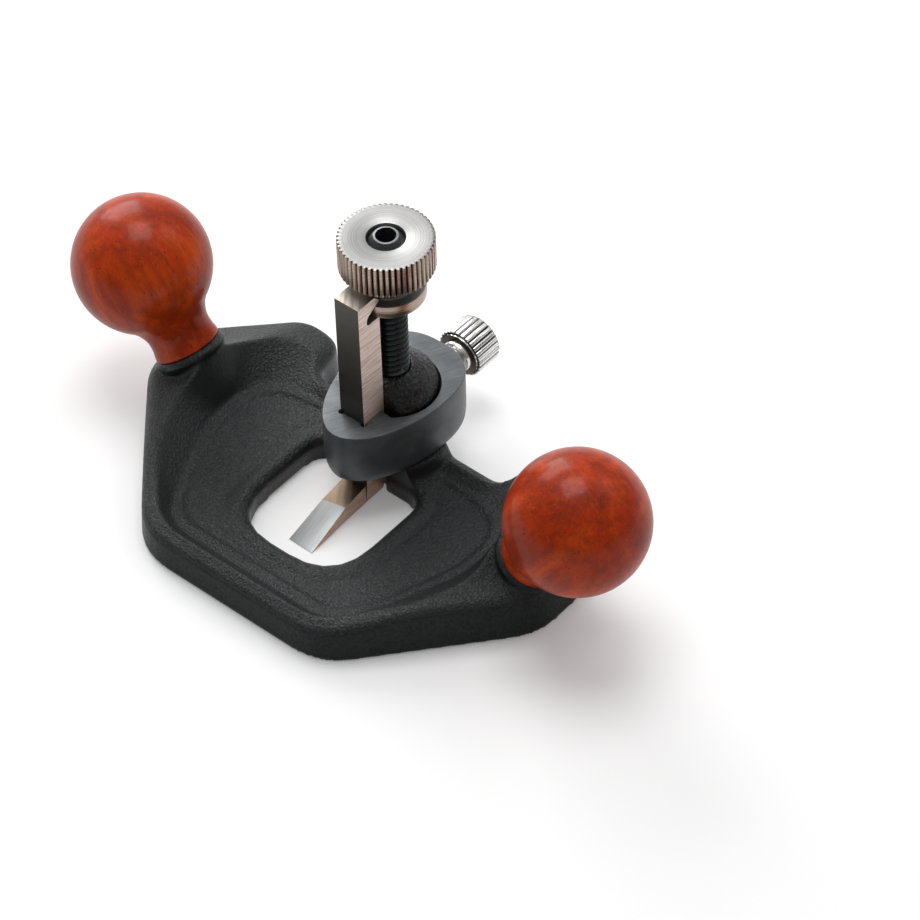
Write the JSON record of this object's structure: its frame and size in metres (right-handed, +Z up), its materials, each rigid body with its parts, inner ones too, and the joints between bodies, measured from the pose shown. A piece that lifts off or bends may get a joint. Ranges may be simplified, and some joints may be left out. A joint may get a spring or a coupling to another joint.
{
  "type": "router plane",
  "caption": "Hand router plane with a winged cast body, ball knobs, a clamped L-shaped blade and a knurled depth wheel on a threaded stud.",
  "frame": {"origin": "on the sole, below the centre of the adjuster stud", "axes": "+X towards the right knob, +Y to the rear, away from the cutting edge, +Z up out of the sole"},
  "size_m": [0.1872, 0.1024, 0.0838],
  "materials": {
    "coated_iron": "black textured powder coat, semi-matte",
    "knob_wood": "reddish-orange hardwood, glossy lacquer",
    "brass": "turned",
    "black_steel": "black oxide, lightly oiled",
    "turned_steel": "satin turned stainless with straight knurl",
    "ground_steel": "surface ground, diagonal grinding lines",
    "blued_steel": "smooth matte black oxide"
  },
  "bodies": {
    "body": {"body_casting": "coated_iron", "left_knob": "knob_wood", "right_knob": "knob_wood", "left_insert": "brass", "right_insert": "brass", "left_knob_screw": "black_steel", "right_knob_screw": "black_steel", "adjuster_stud": "black_steel"},
    "blade": {"blade": "ground_steel"},
    "wheel": {"adjuster_wheel": "turned_steel"},
    "collar": {"clamp_collar": "blued_steel"},
    "lock": {"lock_screw": "turned_steel"}
  },
  "joints": [
    {"name": "depth_slide", "type": "slide", "parent": "body", "child": "blade", "axis": [0, 0, 1], "range_m": [-0.019, 0.0038]},
    {"name": "wheel_spin", "type": "hinge", "parent": "blade", "child": "wheel", "pos_m": [0, 0, 0.078], "axis": [0, 0, 1], "range_deg": [-3600, 720]},
    {"name": "clamp_slide", "type": "slide", "parent": "body", "child": "collar", "axis": [0, -1, 0], "range_m": [0, 0.000635]},
    {"name": "lock_spin", "type": "hinge", "parent": "body", "child": "lock", "pos_m": [0, 0.031, 0.0204], "axis": [0, 1, 0], "range_deg": [0, 180]}
  ],
  "couplings": [
    {"joint": "wheel_spin", "follows": "depth_slide", "rad_per_m": 3306.9},
    {"joint": "lock_spin", "follows": "clamp_slide", "rad_per_m": 4947.4}
  ]
}
